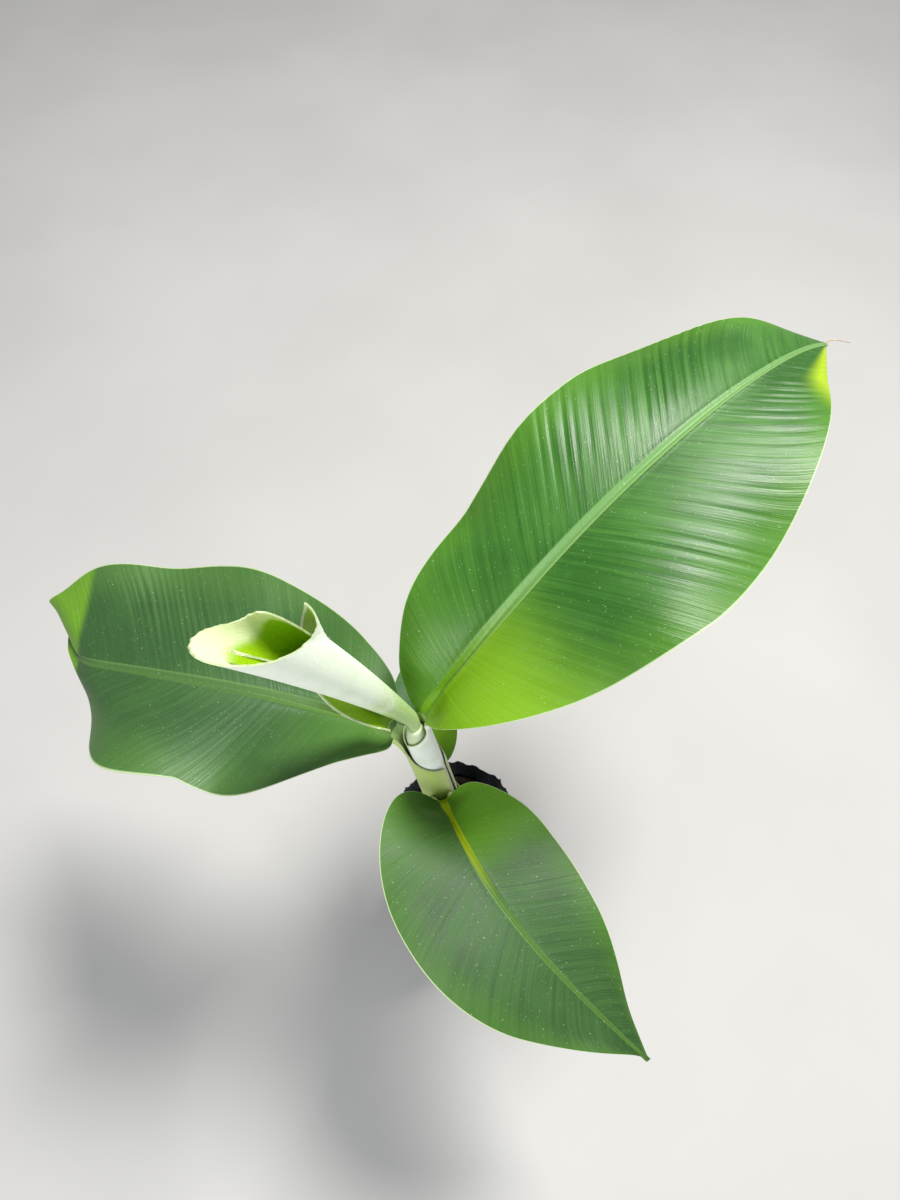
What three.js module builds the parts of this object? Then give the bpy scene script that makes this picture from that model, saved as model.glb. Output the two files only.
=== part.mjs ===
// A young banana plant in a black nursery bag.
//
// A banana has no woody trunk. Its stem is made of leaf bases wrapped round each other, and
// each leaf is one long strip: a sheath that wraps the stem, a channelled petiole, and a
// blade. Here sheath and petiole are one solid and the blade is another, and the youngest
// leaf is still rolled up on the tip of the stem.
//
// Millimetres and degrees. +X is right, +Y is away from the viewer, +Z is up, and the origin
// is the centre of the bag's flat underside. A heading is measured round +Z from +X.

import * as THREE from 'three';
import { mergeVertices } from 'three/addons/utils/BufferGeometryUtils.js';

// Bag and soil
const bagHeight = 188;
const bagRadius = 52;
const bagFootRadius = 43;
const bagCornerHeight = 14;
const bagWall = 1.5;
const bagRingShares = [0.3, 0.55, 0.8, 1];
const rimFlare = 2;
const rimFlarePower = 4;
const rimOval = 0.05;
const rimLobes = 0.03;
const rimWaveHeading = 96;
const soilLevel = 163;
const soilSeatRadius = 22;
const soilHollow = 3;
const soilEdgeShare = 0.35;
const soilRiseShare = 0.7;
const soilRiseHeight = 0.5;
const soilClearance = 0.5;
const seatGap = 0.3;

// Stem
const crownHeight = 205;
const crownShiftX = -27;
const crownShiftY = 13.5;
const stemBend = 1.25;
const levelFootHeight = 30;
const coreRadiusFoot = 8;
const coreRadiusCrown = 7;
const footFlare = 3.2;
const footFlareHeight = 18;
const sheathWall = 1.5;
const layerGap = 0.6;
const sheathTurnFoot = 170;
const rollReleaseLength = 17;

// Leaves, from the innermost and youngest layer of the stem to the outermost and oldest.
// rises and headings are evenly spaced from where the petiole leaves the stem to the tip of
// the blade. Pairs are for the left half and the right half, seen from the stem. A bend starts
// at a length along the blade and turns the rest down, towards a heading.
const leaves = [
  {
    name: 'back_right',
    layer: 1,
    stemHeight: 203,
    sheathOpens: 0.95,
    sheathTurnTop: 60,
    petioleLength: 7,
    releaseLength: 19,
    petioleWidth: 12,
    petioleTurn: 72,
    bladeLength: 354,
    halfWidths: [67, 83],
    widest: [0.57, 0.455],
    baseRoundness: [2.6, 1.5],
    basePinch: [1.69, 1],
    tipRoundness: [1, 0.82],
    rises: [58, 50, 35, 20, 7, -9, -30],
    headings: [30, 36, 39, 40, 40, 40, 40],
    foldFoot: 52,
    foldTip: 10,
    droop: 25,
    waveHeight: 6,
    waves: 2.5,
    colour: 0x4c9a2c,
  },
  {
    name: 'left',
    layer: 2,
    stemHeight: 176,
    sheathOpens: 0.88,
    sheathTurnTop: 62,
    petioleLength: 18,
    releaseLength: 18,
    petioleWidth: 9,
    petioleTurn: 95,
    bladeLength: 278,
    halfWidths: [69, 73],
    widest: [0.27, 0.46],
    baseRoundness: [1.9, 2],
    basePinch: [1, 1],
    tipRoundness: [0.4, 1.9],
    rises: [45, 16, 2, -8, -17, -17, -12],
    headings: [168, 168, 168, 166, 163, 161, 160],
    bend: { start: 190, heading: 218, radius: 24, turn: 82 },
    foldFoot: 50,
    foldTip: 12,
    droop: -6,
    waveHeight: 6,
    waves: 2.5,
    colour: 0x3f8a30,
  },
  {
    name: 'front_right',
    layer: 3,
    stemHeight: 118,
    sheathOpens: 0.7,
    sheathTurnTop: 50,
    petioleLength: 17,
    releaseLength: 17,
    petioleWidth: 7.5,
    petioleTurn: 100,
    bladeLength: 207,
    halfWidths: [49, 58.5],
    widest: [0.36, 0.36],
    baseRoundness: [2, 2.6],
    basePinch: [1, 1],
    tipRoundness: [0.84, 0.68],
    rises: [55, 30, 6, -12, -24, -28, -30],
    headings: [-75, -68, -60, -50, -42, -38, -36],
    foldFoot: 48,
    foldTip: 8,
    droop: 12,
    waveHeight: 3,
    waves: 2,
    colour: 0x458f30,
  },
  {
    name: 'small_back',
    layer: 4,
    stemHeight: 92,
    sheathOpens: 0.55,
    sheathTurnTop: 44,
    petioleLength: 15,
    releaseLength: 15,
    petioleWidth: 5.5,
    petioleTurn: 100,
    bladeLength: 78,
    halfWidths: [20, 21],
    widest: [0.45, 0.45],
    baseRoundness: [2, 2],
    basePinch: [1, 1],
    tipRoundness: [1.4, 1.4],
    rises: [52, 44, 30, 18, 6, -4, -10],
    headings: [100, 104, 108, 108, 108, 106, 104],
    foldFoot: 46,
    foldTip: 10,
    droop: 8,
    waveHeight: 1.5,
    waves: 2,
    colour: 0x5a9a5c,
  },
];

// Furled leaf. Its turns are measured round the roll from the leaf's own midrib.
const rollLength = 214;
const rollHeadings = [-150, -146];
const rollLeans = [18.5, 24];
const rollRadiusFoot = 2.4;
const rollRadiusMouth = 15.5;
const rollFlare = 0.95;
const rollWall = 2.2;
const rollLayerGap = 0.6;
const rollMidribHeading = 216;
const rollInnerTurn = -300;
const rollInnerTurnFoot = -120;
const rollOuterTurnStart = 290;
const rollOuterTurnFoot = 420;
const rollOuterTurnMouth = 175;
const rollWrapShares = [0, 0.22];
const rollUnwrapShares = [0.14, 0.96];
const rollApexTurn = 12;
const rollMouthDrop = 62;
const rollBackRise = 12;
const rollBackTurn = -130;
const rollCornerRise = 10;
const rollCornerTurn = 30;
const rollFlapLift = 8;
const rollFlapTurn = 60;
const rollFlapFoot = 0.5;
const rollFlapShares = [0.03, 0.2];

// Fineness
const bagSides = 40;
const coreSides = 18;
const coreRings = 14;
const sheathColumns = 18;
const sheathRows = 5;
const openingRows = 8;
const petioleRows = 5;
const bladeColumns = 10;
const bladeRows = 22;
const rollColumns = 40;
const rollRows = 22;
const spineStep = 1;
const footRowCrowding = 1.6;
const ribColumnCrowding = 1.6;
const endRowCrowding = 0.6;

// Shares of a leaf's length or width at which its cross-section changes
const spreadShare = 0.09;
const flattenShare = 0.32;
const ribShare = 0.25;
const ribTipShare = 0.2;
const ribTaper = 0.7;
const channelStart = 0.35;
const petioleFade = 8;
const waveEndShare = 0.85;
const tipWidth = 1.2;
const halfWaveShift = 0.35;

const radians = THREE.MathUtils.degToRad;
const mix = THREE.MathUtils.lerp;

// A value along a list whose entries are evenly spaced from 0 to 1
function along(list, share) {
  const place = THREE.MathUtils.clamp(share, 0, 1) * (list.length - 1);
  const first = Math.min(Math.floor(place), list.length - 2);
  return mix(list[first], list[first + 1], place - first);
}

// A share from 0 to 1 whose steps are shorter towards both ends
function eased(share, amount) {
  return mix(share, (1 - Math.cos(Math.PI * share)) / 2, amount);
}

function smooth(low, high, value) {
  return THREE.MathUtils.smoothstep(value, low, high);
}

// The point at a length along the stem's middle line, and the way the stem runs there
function stemPoint(height) {
  const share = Math.max(height, 0) / crownHeight;
  const shift = share ** stemBend;
  return new THREE.Vector3(crownShiftX * shift, crownShiftY * shift, soilLevel + seatGap + height);
}

// The foot is cut level, and the sections above it turn square to the leaning middle line
function stemDirection(height) {
  const step = 0.5;
  const run = stemPoint(height + step).sub(stemPoint(Math.max(height - step, 0))).normalize();
  return new THREE.Vector3(0, 0, 1).lerp(run, smooth(0, levelFootHeight, height)).normalize();
}

function coreRadius(height) {
  const plain = mix(coreRadiusFoot, coreRadiusCrown, height / crownHeight);
  return plain + footFlare * Math.exp(-height / footFlareHeight);
}

function sheathRadius(layer, height) {
  return coreRadius(height) + layer * (sheathWall + layerGap) - sheathWall / 2;
}

function level(heading, rise) {
  const flat = Math.cos(radians(rise));
  return new THREE.Vector3(
    flat * Math.cos(radians(heading)),
    flat * Math.sin(radians(heading)),
    Math.sin(radians(rise)),
  );
}

// Forward, left and up at one place on a leaf; up is the side that faces the stem
function frameAt(point, forward, heading) {
  const left = level(heading + 90, 0);
  left.addScaledVector(forward, -left.dot(forward)).normalize();
  const up = new THREE.Vector3().crossVectors(forward, left);
  return { point, forward, left, up };
}

// The leaf's middle line past the stem, one frame for each step
function makeSpine(leaf) {
  const length = leaf.petioleLength + leaf.bladeLength;
  const steps = Math.round(length / spineStep);
  const start = frameOnStem(leaf, leaf.stemHeight);
  const spine = [start];
  const point = start.point.clone();
  for (let i = 1; i <= steps; i += 1) {
    const share = i / steps;
    const free = smooth(0, leaf.releaseLength, share * length);
    const heading = mix(leaf.headings[0], along(leaf.headings, share), free);
    const forward = start.forward.clone().lerp(level(heading, along(leaf.rises, share)), free);
    forward.normalize();
    point.addScaledVector(forward, length / steps);
    spine.push(frameAt(point.clone(), forward, heading));
  }
  return spine;
}

function frameOnStem(leaf, height) {
  const forward = stemDirection(height);
  const frame = frameAt(stemPoint(height), forward, leaf.headings[0]);
  frame.point.addScaledVector(frame.up, -sheathRadius(leaf.layer, height));
  return frame;
}

// The blade's half width as a share of its widest, from 0 at the petiole to 1 at the tip
function outline(leaf, half, share) {
  const widest = leaf.widest[half];
  if (share < widest) {
    const roundness = leaf.baseRoundness[half];
    return (1 - (1 - share / widest) ** roundness) ** (leaf.basePinch[half] / roundness);
  }
  const ahead = (share - widest) / (1 - widest);
  return (1 - ahead ** 2) ** (1 / leaf.tipRoundness[half]);
}

// The strip's cross-section at a length past the soil along the leaf: its half width, the
// angle at which each half starts, the angle through which it turns by the margin, its wall,
// and the depth and half width of the rib under it
function crossSection(leaf, length, side) {
  const radius = sheathRadius(leaf.layer, Math.min(length, leaf.stemHeight));
  const wall = Math.max(leaf.bladeLength / 100, sheathWall);
  const past = length - leaf.stemHeight;
  if (past <= 0) {
    const opening = Math.max(length / leaf.stemHeight - leaf.sheathOpens, 0) / (1 - leaf.sheathOpens);
    const turn = mix(sheathTurnFoot, leaf.sheathTurnTop, opening);
    return { halfWidth: radius * radians(turn), fold: 0, turn, wall: sheathWall, rib: 0, ribWidth: radius };
  }
  const channelRadius = leaf.petioleWidth / 2;
  const petioleArc = channelRadius * radians(leaf.petioleTurn);
  if (past <= leaf.petioleLength) {
    const narrowing = past / leaf.petioleLength;
    const halfWidth = mix(radius * radians(leaf.sheathTurnTop), petioleArc, narrowing);
    const curvature = mix(1 / radius, 1 / channelRadius, smooth(channelStart, 1, narrowing));
    return {
      halfWidth,
      fold: 0,
      turn: THREE.MathUtils.radToDeg(halfWidth * curvature),
      wall: mix(sheathWall, wall, narrowing),
      rib: leaf.petioleWidth * ribShare * narrowing,
      ribWidth: halfWidth,
    };
  }
  const share = (past - leaf.petioleLength) / leaf.bladeLength;
  const opening = smooth(0, spreadShare, share);
  const flattening = smooth(0, flattenShare, share);
  const half = side > 0 ? 0 : 1;
  const spread = leaf.halfWidths[half] * outline(leaf, half, share);
  const halfWidth = Math.max(petioleArc * (1 - share) ** petioleFade, spread, tipWidth);
  const fold = mix(leaf.foldFoot, leaf.foldTip, flattening) * opening;
  return {
    halfWidth,
    fold,
    turn: mix(leaf.petioleTurn, -leaf.droop, opening),
    wall,
    rib: leaf.petioleWidth * ribShare * mix(1, ribTipShare, share ** ribTaper),
    ribWidth: mix(petioleArc, channelRadius, opening),
  };
}

// The end of a blade bent down over a level line: what lies past the line is wound round a
// circle of the bend's radius, and hangs straight below it after the bend's whole turn
function bentOver(leaf, point) {
  if (!leaf.bend) {
    return point;
  }
  const { start, heading, radius, turn } = leaf.bend;
  const line = frameAlong(leaf, leaf.stemHeight + leaf.petioleLength + start).point;
  const ahead = level(heading, 0);
  const past = point.clone().sub(line).dot(ahead);
  if (past <= 0) {
    return point;
  }
  const height = radius + point.z - line.z;
  const angle = Math.min(past / radius, radians(turn));
  const rest = past - angle * radius;
  const reached = height * Math.sin(angle) + rest * Math.cos(angle);
  const bent = point.clone().addScaledVector(ahead, reached - past);
  bent.z = line.z - radius + height * Math.cos(angle) - rest * Math.sin(angle);
  return bent;
}

// A point of the strip: across runs from -1 at the right margin to 1 at the left one, and
// through from -1 on the underside to 1 on the upper side
function stripPoint(leaf, length, across, through) {
  const side = Math.sign(across) || 1;
  const reach = Math.abs(across);
  const part = crossSection(leaf, length, side);
  const frame = frameAlong(leaf, length);
  const start = radians(part.fold);
  const turn = radians(part.turn);
  const angle = start + turn * reach;
  const radius = part.halfWidth / turn;
  const sideways = radius * (Math.sin(angle) - Math.sin(start));
  const upwards = radius * (Math.cos(start) - Math.cos(angle));
  const ribReach = Math.min((reach * part.halfWidth) / part.ribWidth, 1);
  const rib = through < 0 ? part.rib * (1 - ribReach ** 2) : 0;
  const lift = (through * part.wall) / 2 - rib;
  const share = (length - leaf.stemHeight - leaf.petioleLength) / leaf.bladeLength;
  const rolling = Math.sin(2 * Math.PI * (leaf.waves * share + (side > 0 ? 0 : halfWaveShift)));
  const waviness = smooth(spreadShare, flattenShare, share) * (1 - smooth(waveEndShare, 1, share));
  const wave = leaf.waveHeight * reach ** 2 * rolling * waviness;
  const point = frame.point.clone();
  point.addScaledVector(frame.left, side * (sideways - lift * Math.sin(angle)));
  point.addScaledVector(frame.up, upwards + lift * Math.cos(angle) + wave);
  return bentOver(leaf, point);
}

function frameAlong(leaf, length) {
  if (length <= leaf.stemHeight) {
    return frameOnStem(leaf, length);
  }
  const past = length - leaf.stemHeight;
  const whole = leaf.petioleLength + leaf.bladeLength;
  const place = THREE.MathUtils.clamp(past / whole, 0, 1) * (leaf.spine.length - 1);
  const first = Math.min(Math.floor(place), leaf.spine.length - 2);
  const a = leaf.spine[first];
  const b = leaf.spine[first + 1];
  const share = place - first;
  return {
    point: a.point.clone().lerp(b.point, share),
    left: a.left.clone().lerp(b.left, share).normalize(),
    up: a.up.clone().lerp(b.up, share).normalize(),
  };
}

// A box of many small faces, each corner of which is moved to the point that place gives it
function mappedBox(columns, rows, place) {
  const box = new THREE.BoxGeometry(2, 2, 2, columns, 1, rows);
  box.deleteAttribute('normal');
  box.deleteAttribute('uv');
  const geometry = mergeVertices(box);
  const corners = geometry.attributes.position;
  for (let i = 0; i < corners.count; i += 1) {
    const run = (corners.getZ(i) + 1) / 2;
    const point = place(corners.getX(i), corners.getY(i), run);
    corners.setXYZ(i, point.x, point.y, point.z);
  }
  geometry.computeVertexNormals();
  return geometry;
}

function finish(colour, roughness) {
  return new THREE.MeshStandardMaterial({ color: colour, roughness, metalness: 0 });
}

function named(name, geometry, material) {
  const mesh = new THREE.Mesh(geometry, material);
  mesh.name = name;
  return mesh;
}

// The soft bag is pulled in and out of round, most at its rim
function bagWave(heading, height) {
  const rise = smooth(0, bagHeight, height);
  const angle = heading - radians(rimWaveHeading);
  return 1 + rise * (rimOval * Math.cos(2 * angle) + rimLobes * Math.cos(3 * angle));
}

function turnedShape(profile) {
  const lathe = new THREE.LatheGeometry(profile, bagSides);
  lathe.deleteAttribute('normal');
  lathe.deleteAttribute('uv');
  lathe.rotateX(Math.PI / 2);
  const corners = lathe.attributes.position;
  for (let i = 0; i < corners.count; i += 1) {
    const x = corners.getX(i);
    const y = corners.getY(i);
    const z = corners.getZ(i);
    const wave = bagWave(Math.atan2(y, x), z);
    corners.setXYZ(i, x * wave, y * wave, z);
  }
  const geometry = mergeVertices(lathe);
  geometry.computeVertexNormals();
  return geometry;
}

// Half of the bag's section, from the middle of its foot to just under the rim; inset is how
// far inside the film's outer face it lies
function bagProfile(inset, top) {
  const points = [];
  const cornerSteps = 4;
  for (let i = 0; i <= cornerSteps; i += 1) {
    const angle = (i / cornerSteps) * (Math.PI / 2);
    const radius = bagFootRadius + (bagRadius - bagFootRadius) * Math.sin(angle) - inset;
    const height = bagCornerHeight * (1 - Math.cos(angle));
    points.push(new THREE.Vector2(radius, Math.max(height, inset)));
  }
  for (const share of bagRingShares) {
    const height = mix(bagCornerHeight, top, share);
    const flare = rimFlare * (height / bagHeight) ** rimFlarePower;
    points.push(new THREE.Vector2(bagRadius + flare - inset, height));
  }
  return points;
}

function makeBag() {
  const outside = bagProfile(0, bagHeight);
  const inside = bagProfile(bagWall, bagHeight).reverse();
  const profile = [new THREE.Vector2(0, 0), ...outside, ...inside, new THREE.Vector2(0, bagWall)];
  return named('bag', turnedShape(profile), finish(0x22262d, 0.55));
}

function makeSoil() {
  const inset = bagWall + soilClearance;
  const side = bagProfile(inset, soilLevel);
  const edge = side[side.length - 1].x;
  const top = [
    new THREE.Vector2(mix(edge, soilSeatRadius, soilEdgeShare), soilLevel - soilHollow),
    new THREE.Vector2(mix(edge, soilSeatRadius, soilRiseShare), soilLevel - soilHollow * soilRiseHeight),
    new THREE.Vector2(soilSeatRadius, soilLevel),
  ];
  const profile = [new THREE.Vector2(0, inset), ...side, ...top, new THREE.Vector2(0, soilLevel)];
  return named('soil', turnedShape(profile), finish(0x3b3128, 0.95));
}

function makePseudostem() {
  const core = new THREE.CylinderGeometry(1, 1, 2, coreSides, coreRings);
  core.deleteAttribute('normal');
  core.deleteAttribute('uv');
  core.rotateX(Math.PI / 2);
  const geometry = mergeVertices(core);
  const corners = geometry.attributes.position;
  for (let i = 0; i < corners.count; i += 1) {
    const height = crownHeight * ((corners.getZ(i) + 1) / 2) ** footRowCrowding;
    const frame = frameAt(stemPoint(height), stemDirection(height), 0);
    const radius = coreRadius(height);
    frame.point.addScaledVector(frame.left, corners.getY(i) * radius);
    frame.point.addScaledVector(frame.up, -corners.getX(i) * radius);
    corners.setXYZ(i, frame.point.x, frame.point.y, frame.point.z);
  }
  geometry.computeVertexNormals();
  return named('pseudostem', geometry, finish(0x9db37a, 0.6));
}

// The rows are close together at the flared foot and where the sheath's margins part
function rowLength(leaf, row) {
  const opens = leaf.stemHeight * leaf.sheathOpens;
  if (row <= sheathRows) {
    return opens * (row / sheathRows) ** footRowCrowding;
  }
  if (row <= sheathRows + openingRows) {
    return mix(opens, leaf.stemHeight, (row - sheathRows) / openingRows);
  }
  const end = leaf.stemHeight + leaf.petioleLength - seatGap;
  return mix(leaf.stemHeight, end, (row - sheathRows - openingRows) / petioleRows);
}

function makePetiole(leaf) {
  const rows = sheathRows + openingRows + petioleRows;
  const geometry = mappedBox(sheathColumns, rows, (across, through, run) =>
    stripPoint(leaf, rowLength(leaf, Math.round(run * rows)), across, through),
  );
  return named(`petiole_${leaf.name}`, geometry, finish(0xb6c46a, 0.5));
}

function makeBlade(leaf) {
  const start = leaf.stemHeight + leaf.petioleLength;
  const geometry = mappedBox(bladeColumns, bladeRows, (across, through, run) => {
    const column = Math.sign(across) * Math.abs(across) ** ribColumnCrowding;
    return stripPoint(leaf, start + eased(run, endRowCrowding) * leaf.bladeLength, column, through);
  });
  return named(`leaf_${leaf.name}`, geometry, finish(leaf.colour, 0.42));
}

function makeRollAxis() {
  const way = stemDirection(crownHeight);
  const point = stemPoint(crownHeight).addScaledVector(way, seatGap);
  const steps = Math.round(rollLength / spineStep);
  const axis = [];
  for (let i = 0; i <= steps; i += 1) {
    const share = i / steps;
    const lean = level(along(rollHeadings, share), 90 - along(rollLeans, share));
    const forward = way.clone().lerp(lean, smooth(0, rollReleaseLength, i * spineStep)).normalize();
    axis.push(frameAt(point.clone(), forward, rollMidribHeading));
    point.addScaledVector(forward, rollLength / steps);
  }
  return axis;
}

// The turn of the furled leaf's outer margin. It comes round from behind near the foot, where
// the roll is thin, and ends in a pointed corner beside the mouth.
function outerTurn(share) {
  const wrapped = mix(rollOuterTurnStart, rollOuterTurnFoot, smooth(...rollWrapShares, share));
  return mix(wrapped, rollOuterTurnMouth, smooth(...rollUnwrapShares, share));
}

// How far below the tip the furled leaf's upper edge lies
function mouthDrop(turn) {
  const half = THREE.MathUtils.clamp(turn - rollApexTurn, -180, 180);
  const corner = rollCornerRise * smooth(rollOuterTurnMouth - rollCornerTurn, rollOuterTurnMouth, turn);
  const back = rollBackRise * Math.max(Math.cos(radians(turn - rollBackTurn)), 0) ** 2;
  return (rollMouthDrop * (1 - Math.cos(radians(half)))) / 2 - corner - back;
}

// The furled leaf is a loose spiral round its own axis. It is narrow at its foot, so fewer
// layers lie over each other there. The mouth is cut slantwise, from the tip of the midrib down
// to the far side, and the outer margin stands off the roll.
function makeFurledLeaf() {
  const axis = makeRollAxis();
  const geometry = mappedBox(rollRows, rollColumns, (upward, through, round) => {
    const run = (upward + 1) / 2;
    const topTurn = mix(rollInnerTurn, rollOuterTurnMouth, round);
    const length = run * (rollLength - mouthDrop(topTurn));
    const share = length / rollLength;
    const margin = outerTurn(share);
    const inner = mix(rollInnerTurnFoot, rollInnerTurn, smooth(...rollWrapShares, share));
    const turn = mix(inner, margin, round);
    const lift = rollFlapLift * mix(rollFlapFoot, 1, share) * smooth(...rollFlapShares, share);
    const flap = lift * smooth(margin - rollFlapTurn, margin, turn);
    const spiral = ((rollWall + rollLayerGap) * turn) / 360;
    const cone = mix(rollRadiusFoot, rollRadiusMouth, share ** rollFlare);
    const radius = cone + spiral + flap + (through * rollWall) / 2;
    const frame = axis[Math.min(Math.round(length / spineStep), axis.length - 1)];
    const point = frame.point.clone();
    point.addScaledVector(frame.up, -radius * Math.cos(radians(turn)));
    point.addScaledVector(frame.left, radius * Math.sin(radians(turn)));
    return point;
  });
  return named('leaf_furled', geometry, finish(0xb9d36b, 0.5));
}

const plant = new THREE.Group();
plant.add(makeBag(), makeSoil(), makePseudostem());
for (const leaf of leaves) {
  leaf.spine = makeSpine(leaf);
  plant.add(makePetiole(leaf), makeBlade(leaf));
}
plant.add(makeFurledLeaf());

export default plant;
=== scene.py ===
# %% [markdown]
# A young banana plant in a soft black nursery bag.
#
# A banana has no woody trunk. Each leaf is one long strip: a sheath that wraps the stem, a
# channelled petiole, and a blade. The youngest leaf is still rolled up. So the whole plant can be
# made from a few flat strips, each laid along its own midrib line. Sizes are in metres and angles
# in degrees, +X is right, +Y is away from the camera, +Z is up, and a heading is measured round +Z
# from +X.

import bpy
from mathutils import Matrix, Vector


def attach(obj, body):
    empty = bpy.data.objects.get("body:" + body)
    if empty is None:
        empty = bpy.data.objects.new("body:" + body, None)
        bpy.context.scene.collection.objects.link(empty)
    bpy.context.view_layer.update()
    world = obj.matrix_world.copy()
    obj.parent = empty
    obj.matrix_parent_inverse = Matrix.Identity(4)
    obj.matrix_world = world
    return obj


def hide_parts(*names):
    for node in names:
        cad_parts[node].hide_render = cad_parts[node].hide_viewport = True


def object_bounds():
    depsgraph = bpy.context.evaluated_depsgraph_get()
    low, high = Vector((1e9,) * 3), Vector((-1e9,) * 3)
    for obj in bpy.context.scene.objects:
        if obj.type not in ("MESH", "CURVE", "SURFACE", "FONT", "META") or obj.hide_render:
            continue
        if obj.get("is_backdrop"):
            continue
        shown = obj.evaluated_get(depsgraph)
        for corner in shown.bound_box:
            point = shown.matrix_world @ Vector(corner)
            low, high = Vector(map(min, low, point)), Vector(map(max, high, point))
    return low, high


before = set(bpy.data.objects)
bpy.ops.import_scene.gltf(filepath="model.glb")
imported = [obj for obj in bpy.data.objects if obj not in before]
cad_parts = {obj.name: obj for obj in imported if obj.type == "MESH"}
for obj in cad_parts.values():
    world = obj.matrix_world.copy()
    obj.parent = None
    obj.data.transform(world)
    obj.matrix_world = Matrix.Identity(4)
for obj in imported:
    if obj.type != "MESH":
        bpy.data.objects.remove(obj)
cad_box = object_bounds()
print("nodes", sorted(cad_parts))

# %% Tools
from math import atan2, copysign, cos, degrees, exp, hypot, pi, radians, sin, sqrt
from types import SimpleNamespace

import bmesh
import bpy
from mathutils import Vector, noise

scene = bpy.context.scene


def new_object(name, data):
    item = bpy.data.objects.new(name, data)
    scene.collection.objects.link(item)
    return item


def rounded(place):
    return tuple(round(value, 3) for value in place)


print("CAD box", [rounded(corner) for corner in cad_box])

# %% [markdown]
# The camera stands where the photograph was taken from: above and a little in front of the plant,
# tilted 30 degrees forward from straight down. A phone's wide lens shows the near leaves larger
# than the soil, so the lens and the distance matter as much as the angle.

# %% Camera
camera_data = bpy.data.cameras.new("camera")
camera_data.lens = 27
camera_data.sensor_width = 36
camera_data.clip_start = 0.01
camera = new_object("camera", camera_data)
camera.location = (-0.006, -0.185, 0.860)
camera.rotation_euler = (radians(30), 0, 0)
scene.camera = camera
print("camera at", rounded(camera.location))

# %% [markdown]
# Soft studio light. A broad lamp stands high and a little behind, where the big leaf mirrors it
# into the camera, so that its waxy skin has a sheen. A weak one fills the shadows.

# %% Lights
plant_middle = Vector((0, 0, 0.35))


def area_light(name, place, size, power, colour):
    data = bpy.data.lights.new(name, "AREA")
    data.shape = "DISK"
    data.size = size
    data.energy = power
    data.color = colour
    lamp = new_object(name, data)
    lamp.location = place
    lamp.rotation_euler = (plant_middle - Vector(place)).to_track_quat("-Z", "Y").to_euler()


area_light("key", place=(0.5, 0.5, 1.95), size=0.55, power=44, colour=(1.0, 0.985, 0.94))
area_light("fill", place=(-0.4, -1.7, 1.2), size=1.2, power=24, colour=(0.94, 0.97, 1.0))
world = bpy.data.worlds.new("studio")
world.use_nodes = True
background = world.node_tree.nodes["Background"]
background.inputs["Color"].default_value = (0.93, 0.95, 1.0, 1)
background.inputs["Strength"].default_value = 0.42
scene.world = world
scene.view_settings.view_transform = "Standard"

# %% [markdown]
# Materials are trees of nodes. Short helpers keep them readable: each adds a node, feeds it with
# values or with other nodes' outputs, and gives back its output. Every coat then starts as two
# colours mixed by a grain, is painted over with more, and ends with a roughness and a bump.


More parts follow.
